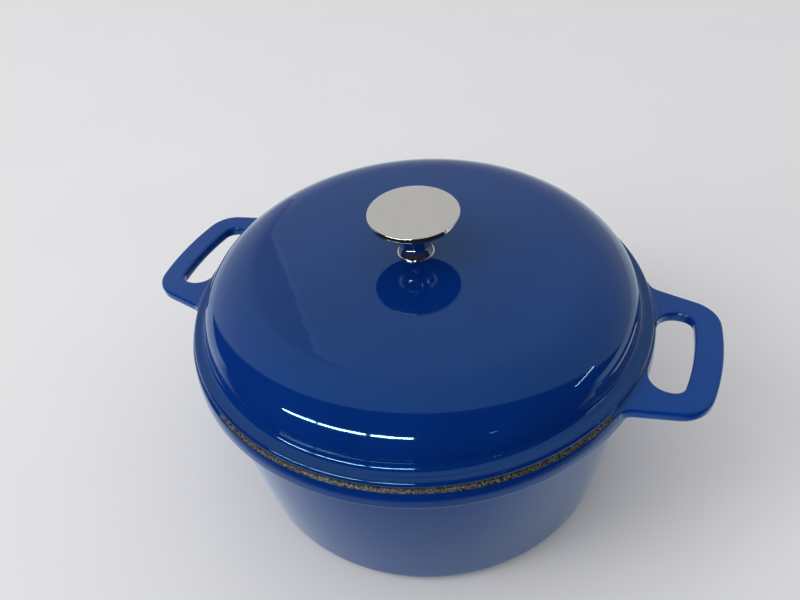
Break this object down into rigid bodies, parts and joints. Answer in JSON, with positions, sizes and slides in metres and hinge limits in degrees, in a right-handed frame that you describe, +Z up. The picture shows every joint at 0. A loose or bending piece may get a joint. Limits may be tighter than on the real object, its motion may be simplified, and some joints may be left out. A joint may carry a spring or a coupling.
{
  "type": "dutch oven",
  "caption": "Round enamelled cast-iron Dutch oven: a deep tapered pot with cast loop handles and a low lid with a flat steel knob that lifts straight off, for braising and stewing.",
  "frame": {"origin": "centre of the flat base, on the surface that the pot stands on", "axes": "+Z up along the pot's axis, +X towards one loop handle, +Y across the handles"},
  "size_m": [0.3408, 0.273, 0.1839],
  "materials": {
    "enamel": "glossy royal-blue vitreous enamel on cast iron, with a bare dark line along the rim",
    "knob_steel": "stainless steel, satin on the top of the disc and polished on its edge and stem",
    "fixing_steel": "bright zinc-plated steel"
  },
  "bodies": {
    "pot": {"pot": "enamel"},
    "lid": {"lid": "enamel", "knob": "knob_steel", "knob_screw": "fixing_steel", "spring_washer": "fixing_steel", "flat_washer": "fixing_steel"}
  },
  "joints": [
    {"name": "lid_lift", "type": "slide", "parent": "pot", "child": "lid", "axis": [0, 0, 1], "range_m": [0, 0.15]}
  ]
}
